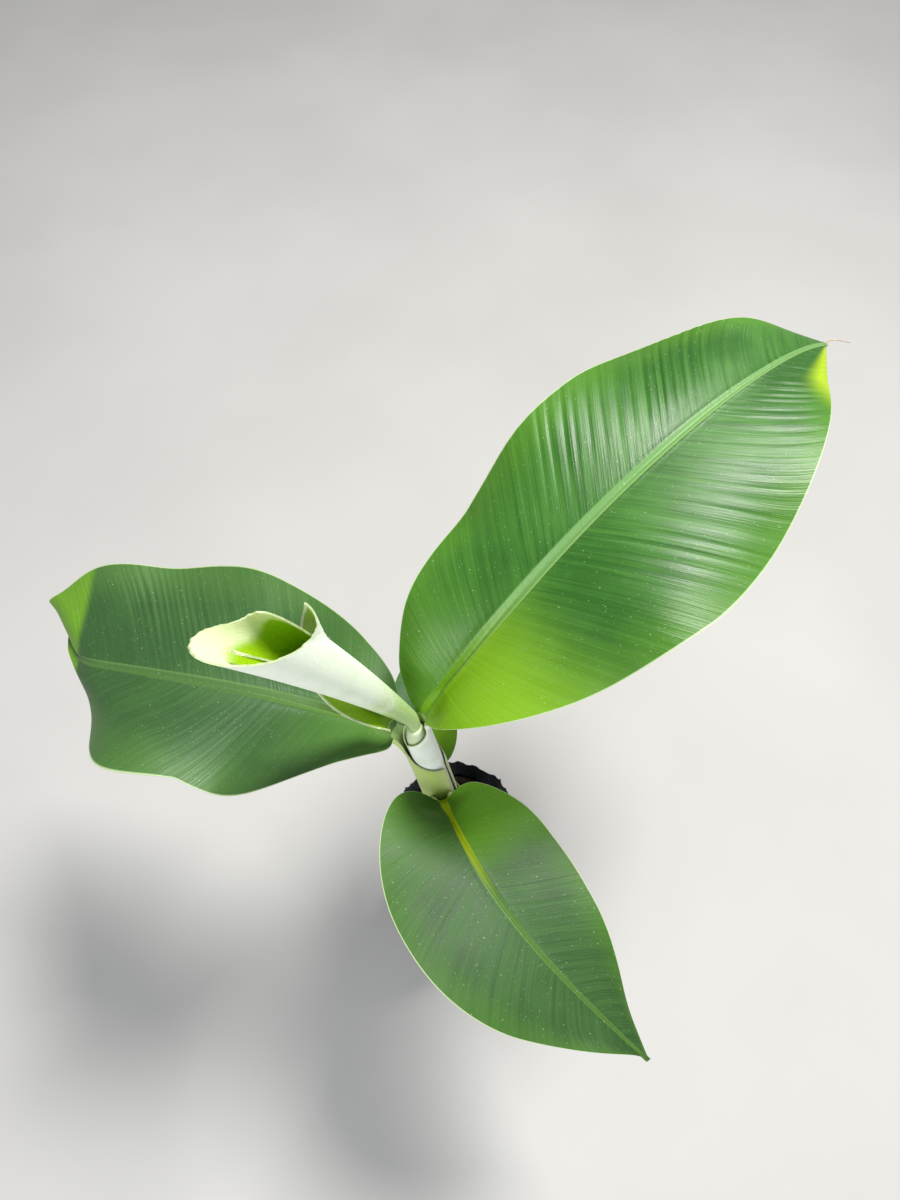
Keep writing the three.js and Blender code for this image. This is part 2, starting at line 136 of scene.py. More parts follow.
# %% Material helpers
class Coat:
    def __init__(self, name):
        self.material = bpy.data.materials.new(name)
        self.material.use_nodes = True
        self.tree = self.material.node_tree
        self.shader = self.tree.nodes["Principled BSDF"]

    def feed_one(self, socket, value):
        if isinstance(value, bpy.types.NodeSocket):
            self.tree.links.new(value, socket)
        else:
            socket.default_value = (*value, 1) if socket.type == "RGBA" else value

    def feed(self, node, **inputs):
        for name, value in inputs.items():
            self.feed_one(node.inputs[name.replace("_", " ")], value)

    def attribute(self, name):
        node = self.tree.nodes.new("ShaderNodeAttribute")
        node.attribute_name = name
        return node.outputs["Fac"]

    def scaled(self, source, scale):
        node = self.tree.nodes.new("ShaderNodeMapping")
        self.feed(node, Vector=source, Scale=scale)
        return node.outputs["Vector"]

    def object_place(self, scale=(1, 1, 1)):
        node = self.tree.nodes.new("ShaderNodeTexCoord")
        return self.scaled(node.outputs["Object"], scale)

    def speckle(self, scale, detail, roughness, place=None):
        """Noise, read in the object's own coordinates unless another place is given"""
        node = self.tree.nodes.new("ShaderNodeTexNoise")
        place = place or self.object_place()
        self.feed(node, Vector=place, Scale=scale, Detail=detail, Roughness=roughness)
        return node.outputs["Fac"]

    def streaks(self, scale, detail, roughness):
        """Noise drawn out along one direction of the strip, by the scale of its UV map"""
        node = self.tree.nodes.new("ShaderNodeUVMap")
        node.uv_map = "UVMap"
        return self.speckle(1.0, detail, roughness, self.scaled(node.outputs["UV"], scale))

    def ramp(self, source, low, high, start=0.0, end=1.0):
        node = self.tree.nodes.new("ShaderNodeMapRange")
        node.interpolation_type = "SMOOTHSTEP"
        self.feed(node, Value=source, From_Min=low, From_Max=high, To_Min=start, To_Max=end)
        return node.outputs["Result"]

    def number(self, operation, first, second=0.0):
        node = self.tree.nodes.new("ShaderNodeMath")
        node.operation = operation
        self.feed_one(node.inputs[0], first)
        self.feed_one(node.inputs[1], second)
        return node.outputs["Value"]

    def times(self, first, second):
        return self.number("MULTIPLY", first, second)

    def blend(self, share, first, second):
        node = self.tree.nodes.new("ShaderNodeMix")
        node.data_type = "RGBA"
        self.feed(node, Factor=share, A=first, B=second)
        return node.outputs["Result"]

    def bump(self, height, distance, strength, under=None):
        node = self.tree.nodes.new("ShaderNodeBump")
        self.feed(node, Distance=distance, Strength=strength, Height=height)
        if under is not None:
            self.feed(node, Normal=under)
        return node.outputs["Normal"]

    def start(self, grain, dark, light, low=0.35, high=0.65):
        self.colour = self.blend(self.ramp(grain, low, high), dark, light)

    def paint(self, share, colour):
        self.colour = self.blend(share, self.colour, colour)

    def done(self, grain, roughness_low, roughness_high, normal):
        roughness = self.ramp(grain, 0.3, 0.7, roughness_low, roughness_high)
        self.feed(self.shader, Base_Color=self.colour, Roughness=roughness, Normal=normal)
        return self.material


def dry_fibre(name, scale, dark, light):
    coat = Coat(name)
    lines = coat.speckle(scale, 3, 0.6)
    coat.start(lines, dark, light)
    return coat.done(lines, 0.7, 0.85, coat.bump(lines, 0.0003, 0.5))


print("material helpers ready")

# %% [markdown]
# The stem leans back and to the left, and its middle line bends gently. Its foot is cut level at
# the soil and swells a little there, as the leaf bases of a real plant do.

# %% Stem sizes
soil_level = 0.163
seat_gap = 0.0003
crown_height = 0.205
crown_shift = (-0.027, 0.0135)
stem_bend = 1.25
level_foot_height = 0.030
core_radius_foot = 0.008
core_radius_crown = 0.007
foot_flare = 0.0032
foot_flare_height = 0.018
sheath_wall = 0.0015
layer_gap = 0.0006
sheath_turn_foot = 170


def mix(first, second, share):
    return first + (second - first) * share


def smooth(low, high, value):
    share = min(max((value - low) / (high - low), 0), 1)
    return share * share * (3 - 2 * share)


def along(values, share):
    place = min(max(share, 0), 1) * (len(values) - 1)
    first = min(int(place), len(values) - 2)
    return mix(values[first], values[first + 1], place - first)


def level(heading, rise):
    """The direction of a heading, raised above level by an angle"""
    flat = cos(radians(rise))
    angle = radians(heading)
    return Vector((flat * cos(angle), flat * sin(angle), sin(radians(rise))))


def wander(x, y, z):
    """Smooth noise, between about -1 and 1, which is always the same at the same place"""
    return noise.noise(Vector((x, y, z)))


def stem_point(height):
    shift = (max(height, 0) / crown_height) ** stem_bend
    return Vector((crown_shift[0] * shift, crown_shift[1] * shift, soil_level + seat_gap + height))


def stem_direction(height):
    step = 0.0005
    run = (stem_point(height + step) - stem_point(max(height - step, 0))).normalized()
    return Vector((0, 0, 1)).lerp(run, smooth(0, level_foot_height, height)).normalized()


def core_radius(height):
    plain = mix(core_radius_foot, core_radius_crown, height / crown_height)
    return plain + foot_flare * exp(-height / foot_flare_height)


def sheath_radius(layer, height):
    return core_radius(height) + layer * (sheath_wall + layer_gap) - sheath_wall / 2


print("stem tip at", rounded(stem_point(crown_height)))

# %% [markdown]
# Each leaf is described by a few sizes and by two short lists, its rise above level and its
# heading, at even steps from where the petiole leaves the stem to the tip. Pairs are for the left
# half and the right half. The leaves are in the order of the stem's layers, the youngest inside.

# %% Leaf sizes
leaves = [
    SimpleNamespace(
        name="back_right", layer=1, stem_height=0.203, sheath_opens=0.95, sheath_turn_top=60,
        petiole_length=0.007, release_length=0.019, petiole_width=0.012, petiole_turn=72,
        band_width=0.0095, blade_length=0.354, half_widths=(0.067, 0.083), widest=(0.57, 0.455),
        base_roundness=(2.6, 1.5), base_pinch=(1.69, 1), tip_roundness=(1, 0.82),
        rises=(58, 50, 35, 20, 7, -9, -30), headings=(30, 36, 39, 40, 40, 40, 40),
        fold_foot=52, fold_tip=10, droop=25, wave_height=0.006, waves=2.5,
        pleats=44, pleat_height=0.0008, columns=60,
    ),
    SimpleNamespace(
        name="left", layer=2, stem_height=0.176, sheath_opens=0.88, sheath_turn_top=62,
        petiole_length=0.018, release_length=0.018, petiole_width=0.009, petiole_turn=95,
        band_width=0.011, blade_length=0.278, half_widths=(0.069, 0.073), widest=(0.27, 0.46),
        base_roundness=(1.9, 2), base_pinch=(1, 1), tip_roundness=(0.4, 1.9),
        rises=(45, 16, 2, -8, -17, -17, -12), headings=(168, 168, 168, 166, 163, 161, 160),
        bend=dict(start=0.190, heading=218, radius=0.024, turn=82),
        fold_foot=50, fold_tip=12, droop=-6, wave_height=0.006, waves=2.5,
        pleats=62, pleat_height=0.00035, columns=56,
    ),
    SimpleNamespace(
        name="front_right", layer=3, stem_height=0.118, sheath_opens=0.7, sheath_turn_top=50,
        petiole_length=0.017, release_length=0.017, petiole_width=0.0075, petiole_turn=100,
        band_width=0.0065, blade_length=0.207, half_widths=(0.049, 0.0585), widest=(0.36, 0.36),
        base_roundness=(2, 2.6), base_pinch=(1, 1), tip_roundness=(0.84, 0.68),
        rises=(55, 30, 6, -12, -24, -28, -30), headings=(-75, -68, -60, -50, -42, -38, -36),
        fold_foot=48, fold_tip=8, droop=12, wave_height=0.003, waves=2,
        pleats=44, pleat_height=0.00018, columns=50,
    ),
    SimpleNamespace(
        name="small_back", layer=4, stem_height=0.092, sheath_opens=0.55, sheath_turn_top=44,
        petiole_length=0.015, release_length=0.015, petiole_width=0.0055, petiole_turn=100,
        band_width=0.0045, blade_length=0.078, half_widths=(0.020, 0.021), widest=(0.45, 0.45),
        base_roundness=(2, 2), base_pinch=(1, 1), tip_roundness=(1.4, 1.4),
        rises=(52, 44, 30, 18, 6, -4, -10), headings=(100, 104, 108, 108, 108, 106, 104),
        fold_foot=46, fold_tip=10, droop=8, wave_height=0.0015, waves=2,
        pleats=18, pleat_height=0.00025, columns=36,
    ),
]
spread_share = 0.09
flatten_share = 0.32
rib_share = 0.25
rib_tip_share = 0.2
rib_taper = 0.7
channel_start = 0.35
petiole_fade = 8
wave_end_share = 0.85
tip_width = 0.0012
half_wave_shift = 0.35
spine_step = 0.001
print("leaf strips", [leaf.name for leaf in leaves])

# %% [markdown]
# A leaf's midrib line starts on the stem's side and leaves it little by little, because the
# petiole bends away over its whole length. The line is walked in steps of a millimetre, and each
# step keeps its place and two directions: left, and up, which is the side that faces the stem.


# %% Midrib lines
def frame_at(point, forward, heading):
    left = level(heading + 90, 0)
    left = (left - forward * left.dot(forward)).normalized()
    return point, left, forward.cross(left)


def frame_on_stem(leaf, height):
    point, left, up = frame_at(stem_point(height), stem_direction(height), leaf.headings[0])
    return point - up * sheath_radius(leaf.layer, height), left, up


def make_spine(leaf):
    length = leaf.petiole_length + leaf.blade_length
    steps = round(length / spine_step)
    start = frame_on_stem(leaf, leaf.stem_height)
    direction = stem_direction(leaf.stem_height)
    spine = [start]
    point = start[0].copy()
    for i in range(1, steps + 1):
        share = i / steps
        free = smooth(0, leaf.release_length, share * length)
        heading = mix(leaf.headings[0], along(leaf.headings, share), free)
        forward = direction.lerp(level(heading, along(leaf.rises, share)), free).normalized()
        point = point + forward * (length / steps)
        spine.append(frame_at(point.copy(), forward, heading))
    return spine


def frame_along(leaf, length):
    if length <= leaf.stem_height:
        return frame_on_stem(leaf, length)
    whole = leaf.petiole_length + leaf.blade_length
    place = min((length - leaf.stem_height) / whole, 1) * (len(leaf.spine) - 1)
    first = min(int(place), len(leaf.spine) - 2)
    before, after = leaf.spine[first], leaf.spine[first + 1]
    point, left, up = (one.lerp(other, place - first) for one, other in zip(before, after))
    return point, left.normalized(), up.normalized()


for leaf in leaves:
    leaf.blade_start = leaf.stem_height + leaf.petiole_length
    leaf.spine = make_spine(leaf)
    print(leaf.name, "tip", rounded(leaf.spine[-1][0]))

# %% [markdown]
# Across the midrib, a strip is an arc. In the sheath it runs nearly all the way round the stem,
# and in the petiole it is a narrow channel. In the blade each half starts up from the rib at a
# fold and then droops, and the fold flattens towards the tip. A midrib also has a rounded groove
# on top, with a low ridge on each side, and a thick round keel underneath.


# %% Cross-section of a strip
def outline(leaf, half, share):
    widest = leaf.widest[half]
    if share < widest:
        roundness = leaf.base_roundness[half]
        return (1 - (1 - share / widest) ** roundness) ** (leaf.base_pinch[half] / roundness)
    ahead = min((share - widest) / (1 - widest), 1)
    return (1 - ahead**2) ** (1 / leaf.tip_roundness[half])


def cross_section(leaf, length, side):
    radius = sheath_radius(leaf.layer, min(length, leaf.stem_height))
    past = length - leaf.stem_height
    if past <= 0:
        opens = leaf.sheath_opens
        opening = max(length / leaf.stem_height - opens, 0) / (1 - opens)
        turn = mix(sheath_turn_foot, leaf.sheath_turn_top, opening)
        half_width = radius * radians(turn)
        return dict(half_width=half_width, fold=0, turn=turn, rib=0, rib_width=radius, groove=0)
    channel_radius = leaf.petiole_width / 2
    petiole_arc = channel_radius * radians(leaf.petiole_turn)
    if past <= leaf.petiole_length:
        narrowing = past / leaf.petiole_length
        half_width = mix(radius * radians(leaf.sheath_turn_top), petiole_arc, narrowing)
        curvature = mix(1 / radius, 1 / channel_radius, smooth(channel_start, 1, narrowing))
        rib = leaf.petiole_width * rib_share * narrowing
        turn = degrees(half_width * curvature)
        return dict(half_width=half_width, fold=0, turn=turn, rib=rib, rib_width=half_width, groove=0)
    share = (past - leaf.petiole_length) / leaf.blade_length
    opening = smooth(0, spread_share, share)
    half = 0 if side > 0 else 1
    spread = leaf.half_widths[half] * outline(leaf, half, share)
    return dict(
        half_width=max(petiole_arc * max(1 - share, 0) ** petiole_fade, spread, tip_width),
        fold=mix(leaf.fold_foot, leaf.fold_tip, smooth(0, flatten_share, share)) * opening,
        turn=mix(leaf.petiole_turn, -leaf.droop, opening),
        rib=leaf.petiole_width * rib_share * mix(1, rib_tip_share, share**rib_taper),
        rib_width=mix(petiole_arc, channel_radius, opening),
        groove=opening,
    )


middles = [cross_section(leaf, leaf.blade_start + leaf.blade_length / 2, 1) for leaf in leaves]
print("left halves, midway", rounded(part["half_width"] for part in middles))

# %% [markdown]
# Side veins leave the midrib in parallel and slant towards the tip, and between them the blade is
# pleated like a fan. So the rows of the blade's mesh are slanted too, and each row follows a vein:
# the pleats come out clean, and a pattern on the same rows follows the veins as well.

# %% Veins and pleats
vein_slant = 0.15
pleat_sharpness = 0.8
pleat_drift = 1.3
pleat_small_drift = 0.4
pleat_middle_depth = 0.5
pleat_depth_swing = 1.1
pleat_least = 0.1
pleat_calm_share = 0.3
pleat_foot_fade = (0.08, 0.4)
pleat_tip_fade = (0.85, 1)
pleat_rib_fade = (0.08, 0.4)
margin_fade = (0.75, 1)
margin_pleat_share = 0.35
ruffle_height = 0.0028
ruffles_per_metre = 26
ruffle_margin = (0.5, 1)
ruffle_foot_fade = (0.05, 0.2)


def vein_place(run, reach):
    return run + vein_slant * reach * 4 * run * (1 - run)


def pleat(leaf, run, across):
    """How far a pleat lifts the blade: uneven in depth and spacing, and strongest in patches"""
    reach = abs(across)
    seed = leaf.layer * 3.1 + (0.7 if across > 0 else 0)
    drift = pleat_drift * wander(run * 8, seed, 0.3) + pleat_small_drift * wander(run * 29, seed, 7)
    swing = pleat_depth_swing * wander(run * 5.5, across * 1.2, seed + 5)
    depth = max(pleat_middle_depth + swing, pleat_least)
    crease = 2 * abs(sin(pi * (leaf.pleats * run + drift))) ** pleat_sharpness - 1.2
    patch = smooth(-0.25, 0.35, wander(run * 2.6, across * 0.8, seed + 11))
    fade = mix(pleat_calm_share, 1, patch)
    fade = fade * smooth(*pleat_foot_fade, run) * (1 - smooth(*pleat_tip_fade, run))
    fade = fade * smooth(*pleat_rib_fade, reach)
    margin = mix(1, margin_pleat_share, smooth(*margin_fade, reach))
    return leaf.pleat_height * depth * crease * fade * margin


def ruffle(leaf, share, across):
    seed = leaf.layer * 1.7 + (4.1 if across > 0 else 0)
    swing = wander(share * leaf.blade_length * ruffles_per_metre, seed, 1.1)
    margin = smooth(*ruffle_margin, abs(across))
    return ruffle_height * swing * margin * smooth(*ruffle_foot_fade, share)


print("pleats per leaf", [leaf.pleats for leaf in leaves])

# %% [markdown]
# One function says where any point of a strip lies. It is given the length along the strip, how
# far across it is (-1 at the right margin, 1 at the left), and the skin: 1 for the side that faces
# the stem and -1 for the back.

# %% A point of a strip
blade_wall = 0.0007
thinning_reach = (0.02, 0.2)
margin_wall_share = 0.45
band_tip_share = 0.3
groove_depth = 0.0007
groove_tip_share = 0.35
ridge_width_share = 0.4
hollow_width_share = 0.6


def blade_share(leaf, length):
    return (length - leaf.stem_height - leaf.petiole_length) / leaf.blade_length


def band_half(leaf, share):
    """Half the width of the pale midrib band on the blade's upper skin"""
    return leaf.band_width / 2 * mix(1, band_tip_share, min(max(share, 0), 1))


def bent_over(leaf, point):
    """The end of a blade hangs down past a level line, wound round the bend's radius"""
    if not hasattr(leaf, "bend"):
        return point
    bend = leaf.bend
    line = frame_along(leaf, leaf.blade_start + bend["start"])[0]
    ahead = level(bend["heading"], 0)
    past = (point - line).dot(ahead)
    if past <= 0:
        return point
    height = bend["radius"] + point.z - line.z
    angle = min(past / bend["radius"], radians(bend["turn"]))
    rest = past - angle * bend["radius"]
    bent = point + ahead * (height * sin(angle) + rest * cos(angle) - past)
    bent.z = line.z - bend["radius"] + height * cos(angle) - rest * sin(angle)
    return bent


def strip_point(leaf, length, across, skin, run=0.0):
    side = 1 if across >= 0 else -1
    reach = abs(across)
    part = cross_section(leaf, length, side)
    point, left, up = frame_along(leaf, length)
    share = blade_share(leaf, length)
    start = radians(part["fold"])
    turn = radians(part["turn"])
    angle = start + turn * reach
    radius = part["half_width"] / turn
    sideways = radius * (sin(angle) - sin(start))
    upwards = radius * (cos(start) - cos(angle))
    distance = reach * part["half_width"]
    rib_reach = min(distance / part["rib_width"], 1)
    wall = mix(sheath_wall, blade_wall, smooth(0, spread_share, share) * smooth(*thinning_reach, reach))
    wall = wall * mix(1, margin_wall_share, smooth(*margin_fade, reach))
    lift = skin * wall / 2
    if skin < 0:
        lift -= part["rib"] * (1 - rib_reach**2)
    groove_half = band_half(leaf, share)
    ridge = exp(-(((distance - groove_half) / (groove_half * ridge_width_share)) ** 2))
    hollow = exp(-((distance / (groove_half * hollow_width_share)) ** 2))
    if skin > 0:
        lift += part["groove"] * groove_depth * (ridge - hollow) * mix(1, groove_tip_share, max(share, 0))
    if share > 0:
        flank = 0 if side > 0 else half_wave_shift
        rolling = sin(2 * pi * (leaf.waves * share + flank))
        waviness = smooth(spread_share, flatten_share, share) * (1 - smooth(wave_end_share, 1, share))
        upwards += leaf.wave_height * reach**2 * rolling * waviness
        upwards += pleat(leaf, run, across) + ruffle(leaf, share, across)
    place = point + left * (side * (sideways - lift * sin(angle)))
    return bent_over(leaf, place + up * (upwards + lift * cos(angle)))


print("tips where they hang", [rounded(bent_over(leaf, leaf.spine[-1][0])) for leaf in leaves])

# %% [markdown]
# Every strip starts as a flat slab: a grid, extruded once for the second skin. Its corners are
# then moved to their places, so the mesh stays in tidy rows and is closed from the start. The
# slab keeps what the materials read later: how far out towards the margin each corner lies, how
# far along, and how many half widths of the midrib band from the middle, above zero on the left.


# %% Flat slab to strip
def flat_slab(columns, rows):
    mesh = bmesh.new()
    bmesh.ops.create_grid(mesh, x_segments=columns, y_segments=rows, size=1)
    second = bmesh.ops.extrude_face_region(mesh, geom=mesh.faces[:])
    corners = [item for item in second["geom"] if isinstance(item, bmesh.types.BMVert)]
    bmesh.ops.translate(mesh, verts=corners, vec=(0, 0, -1))
    return mesh


def lay_strip(mesh, place, lengthwise):
    reach_layer = mesh.verts.layers.float.new("reach")
    along_layer = mesh.verts.layers.float.new("along")
    rib_layer = mesh.verts.layers.float.new("rib")
    uv_layer = mesh.loops.layers.uv.new("UVMap")
    for face in mesh.faces:
        for loop in face.loops:
            corner = loop.vert.co
            loop[uv_layer].uv = (corner.x, (corner.y + 1) / 2 * lengthwise)
        skins = [corner.co.z for corner in face.verts]
        face.material_index = 0 if min(skins) > -0.5 else 1 if max(skins) < -0.5 else 2
        face.smooth = True
    for edge in mesh.edges:
        edge.smooth = len({face.material_index for face in edge.link_faces}) == 1
    for corner in mesh.verts:
        across, run, depth = corner.co
        point, share, rib = place(across, (run + 1) / 2, 1 + 2 * depth)
        corner[reach_layer] = abs(across)
        corner[along_layer] = share
        corner[rib_layer] = rib
        corner.co = point
    bmesh.ops.recalc_face_normals(mesh, faces=mesh.faces[:])


def solid_object(name, mesh, finishes):
    data = bpy.data.meshes.new(name)
    mesh.to_mesh(data)
    open_edges = sum(1 for edge in mesh.edges if len(edge.link_faces) != 2)
    mesh.free()
    for finish in finishes:
        data.materials.append(finish)
    print(name, len(data.polygons), "faces,", open_edges, "open edges")
    return new_object(name, data)


def add_piece(name, mesh, finishes, slot, *nodes):
    piece = solid_object(name, mesh, finishes)
    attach(piece, "root")
    if nodes:
        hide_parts(*nodes)
    return piece


print("strip tools ready")

# %% [markdown]
# A blade's upper skin is a deep, warm green with a waxy gloss. The midrib is a pale band with a
# painted highlight along one edge, where its groove would catch the light. The blade is yellower
# towards the petiole, as young tissue is, and towards the margin, where the yellow is a painted
# glow of light shining through the leaf. It has faint lines along the veins, a thin pale margin,
# fine dust and small flecks. The attributes tell where the midrib and the margin are, and the UV
# map, whose rows are the veins, carries the lines. Some leaves also have painted light of their
# own: a painted sunlit glow on the right half, on one half of the base or on the right corner of
# the tip, and a painted sheen on the end that hangs down.


# %% Leaf finishes
def leaf_upper(name, tone):
    coat = Coat(name)
    reach = coat.attribute("reach")
    share = coat.attribute("along")
    rib = coat.attribute("rib")
    lines = coat.streaks((0.8, 260, 1), 3, 0.65)
    bands = coat.streaks((0.7, 34, 1), 3, 0.6)
    patches = coat.speckle(20.0, 3, 0.55)
    mottle = coat.times(coat.number("ADD", bands, patches), 0.5)
    coat.start(mottle, tone["deep"], tone["light"], 0.38, 0.62)
    # Painted sunlit glow: the right half is painted lighter and yellower, as if light shone through it.
    if "right" in tone:
        coat.paint(coat.ramp(rib, -0.4, 0.2, 1, 0), tone["right"])
    coat.paint(coat.ramp(lines, 0.56, 0.72, 0, 0.38), tone["line"])
    # Yellower young tissue towards the petiole; towards the margin the yellow is a painted glow of light
    # shining through the leaf.
    young = coat.ramp(share, 0.0, 0.3, 0.85, 0)
    young = coat.number("MAXIMUM", young, coat.ramp(reach, 0.72, 1.0, 0, 0.4))
    coat.paint(young, tone["young"])
    # Painted sunlit glow on one half of the base.
    if "sunlit_base" in tone:
        side, base_colour = tone["sunlit_base"]
        half = coat.ramp(coat.times(rib, side), -1.0, 0.4, 1, 0)
        coat.paint(coat.times(coat.ramp(share, 0.14, 0.34, 1, 0), half), base_colour)
    # Painted sheen: the end of the blade that hangs down is painted lighter.
    if "end" in tone:
        coat.paint(coat.ramp(share, 0.77, 0.8, 0, 0.9), tone["end"])
    # Painted sunlit glow on the right corner of the tip.
    if "tip_right" in tone:
        corner = coat.times(coat.ramp(share, 0.8, 0.88), coat.ramp(reach, 0.55, 0.85))
        corner = coat.times(corner, coat.ramp(rib, -2.5, -1.0, 1, 0))
        coat.paint(corner, tone["tip_right"])
    band = coat.ramp(coat.number("ABSOLUTE", rib), 0.75, 1.1, 1, 0)
    coat.paint(band, coat.blend(coat.ramp(share, 0.05, 0.38), tone["rib"], tone["rib_tip"]))
    # Painted highlight: a bright line along the right edge of the midrib band, where its groove would
    # catch the light.
    edge = coat.times(coat.ramp(rib, -1.15, -0.9), coat.ramp(rib, -0.9, -0.6, 1, 0))
    coat.paint(coat.times(edge, 0.75), tone["edge"])
    dust = coat.speckle(800.0, 2, 0.7)
    coat.paint(coat.ramp(dust, 0.67, 0.75, 0, 0.55), (0.36, 0.46, 0.28))
    flecks = coat.speckle(760.0, 1, 0.5)
    coat.paint(coat.ramp(flecks, 0.75, 0.8, 0, 0.5), (0.5, 0.6, 0.4))
    coat.paint(coat.ramp(reach, 0.992, 0.998), (0.4, 0.52, 0.26))
    normal = coat.bump(bands, 0.0014, 0.3, coat.bump(lines, 0.0004, 0.3))
    normal = coat.bump(coat.speckle(1400.0, 2, 0.6), 0.0002, 0.25, normal)
    return coat.done(mottle, tone["gloss"], tone["gloss"] + 0.12, normal)


def leaf_under():
    coat = Coat("leaf_back")
    veins = coat.streaks((0.8, 120, 1), 4, 0.6)
    coat.start(veins, (0.11, 0.23, 0.05), (0.17, 0.31, 0.08))
    rib = coat.number("ABSOLUTE", coat.attribute("rib"))
    coat.paint(coat.ramp(rib, 1.2, 1.8, 0.85, 0), (0.4, 0.5, 0.16))
    return coat.done(veins, 0.5, 0.62, coat.bump(veins, 0.0008, 0.5))


def leaf_rim():
    coat = Coat("leaf_margin")
    flecks = coat.speckle(400.0, 2, 0.6)
    coat.start(flecks, (0.46, 0.56, 0.32), (0.36, 0.42, 0.18), 0.4, 0.7)
    return coat.done(flecks, 0.45, 0.6, coat.bump(flecks, 0.0002, 0.3))


# Some tones below are painted light: those for the right half, one half of the base and the tip's right
# corner are a painted sunlit glow, the one for the hanging end is a painted sheen, and the young tone is
# partly a painted glow along the margin.
tones = {
    "back_right": dict(
        deep=(0.017, 0.092, 0.005), light=(0.038, 0.152, 0.011), line=(0.07, 0.2, 0.026),
        young=(0.085, 0.24, 0.004), rib=(0.14, 0.31, 0.004), rib_tip=(0.13, 0.28, 0.08),
        edge=(0.25, 0.4, 0.12), gloss=0.34, sunlit_base=(1, (0.165, 0.34, 0.002)),
        tip_right=(0.34, 0.5, 0.003),
    ),
    "left": dict(
        deep=(0.024, 0.083, 0.016), light=(0.036, 0.109, 0.021), line=(0.06, 0.15, 0.04),
        young=(0.09, 0.22, 0.035), rib=(0.11, 0.22, 0.042), rib_tip=(0.06, 0.145, 0.03),
        edge=(0.11, 0.21, 0.055), gloss=0.42, end=(0.13, 0.31, 0.008),
    ),
    "front_right": dict(
        deep=(0.015, 0.06, 0.007), light=(0.029, 0.098, 0.013), line=(0.055, 0.145, 0.022),
        young=(0.06, 0.18, 0.004), rib=(0.52, 0.62, 0.002), rib_tip=(0.055, 0.14, 0.012),
        edge=(0.1, 0.21, 0.02), gloss=0.5, sunlit_base=(-1, (0.1, 0.27, 0.003)),
    ),
    "small_back": dict(
        deep=(0.08, 0.19, 0.07), light=(0.12, 0.25, 0.1), line=(0.16, 0.28, 0.12),
        young=(0.08, 0.22, 0.02), rib=(0.16, 0.34, 0.02), rib_tip=(0.16, 0.34, 0.05),
        edge=(0.3, 0.45, 0.12), gloss=0.45, right=(0.3, 0.6, 0.006),
    ),
}
under_finish = leaf_under()
rim_finish = leaf_rim()
upper_finishes = {name: leaf_upper("blade_" + name, tone) for name, tone in tones.items()}
print("leaf finishes", sorted(upper_finishes))


# %% Blades
blade_row = 0.001
rib_crowding = 1.6
uv_per_metre = 10


def make_blade(leaf):
    def place(across, run, skin):
        column = copysign(abs(across) ** rib_crowding, across)
        spot = vein_place(run, abs(column))
        length = leaf.blade_start + spot * leaf.blade_length
        point = strip_point(leaf, length, column, skin, run)
        width = cross_section(leaf, length, column)["half_width"]
        return point, spot, column * width / band_half(leaf, spot)

    mesh = flat_slab(leaf.columns, round(leaf.blade_length / blade_row))
    lay_strip(mesh, place, leaf.blade_length * uv_per_metre)
    finishes = (upper_finishes[leaf.name], under_finish, rim_finish)
    add_piece("blade_" + leaf.name, mesh, finishes, "leaf", "leaf_" + leaf.name)


for leaf in leaves:
    make_blade(leaf)

# %% [markdown]
# A young leaf has a thread at its tip, which dries and stays on for a while. It is a thin cone,
# moved onto a short curved line that starts inside the tip of the biggest leaf.

# %% Dry thread
thread_length = 0.016
thread_radius = 0.0006
thread_heading = 12
thread_rings = 14
thread_sides = 8
thread_taper = 0.3
thread_buried = 0.002
thread_sway = 0.0016
thread_sway_turn = 5
thread_rise = 0.0015
thread_rise_turn = 3


def smooth_outwards(mesh):
    bmesh.ops.recalc_face_normals(mesh, faces=mesh.faces[:])
    for face in mesh.faces:
        face.smooth = True


def ringed_cone(sides, rings, top_radius):
    """A closed cone, two high and one in radius at its foot, whose side is cut into rings"""
    mesh = bmesh.new()
    bmesh.ops.create_cone(mesh, cap_ends=True, segments=sides, radius1=1, radius2=top_radius, depth=2)
    uprights = [edge for edge in mesh.edges if abs(edge.verts[0].co.z - edge.verts[1].co.z) > 1]
    bmesh.ops.subdivide_edges(mesh, edges=uprights, cuts=rings, use_grid_fill=True)
    return mesh


def make_thread(leaf):
    mesh = ringed_cone(thread_sides, thread_rings, thread_taper)
    tip = leaf.spine[-1][0]
    ahead = level(thread_heading, 0)
    aside = level(thread_heading + 90, 0)
    for corner in mesh.verts:
        share = (corner.co.z + 1) / 2
        line = ahead * (thread_length * share - thread_buried)
        line += aside * (thread_sway * sin(thread_sway_turn * share))
        line.z += thread_rise * sin(thread_rise_turn * share)
        corner.co = tip + line + (aside * corner.co.x + Vector((0, 0, corner.co.y))) * thread_radius
    smooth_outwards(mesh)
    finish = dry_fibre("dry_thread", 600.0, (0.3, 0.24, 0.14), (0.52, 0.45, 0.32))
    add_piece("dry_thread", mesh, (finish,), "leaf")


make_thread(leaves[0])

# %% [markdown]
# Sheaths and petioles are firm, smooth and finely ribbed lengthwise. The upper sheaths have a
# pale wax bloom that rubs off, and older ones are yellower and a little brown at the foot.


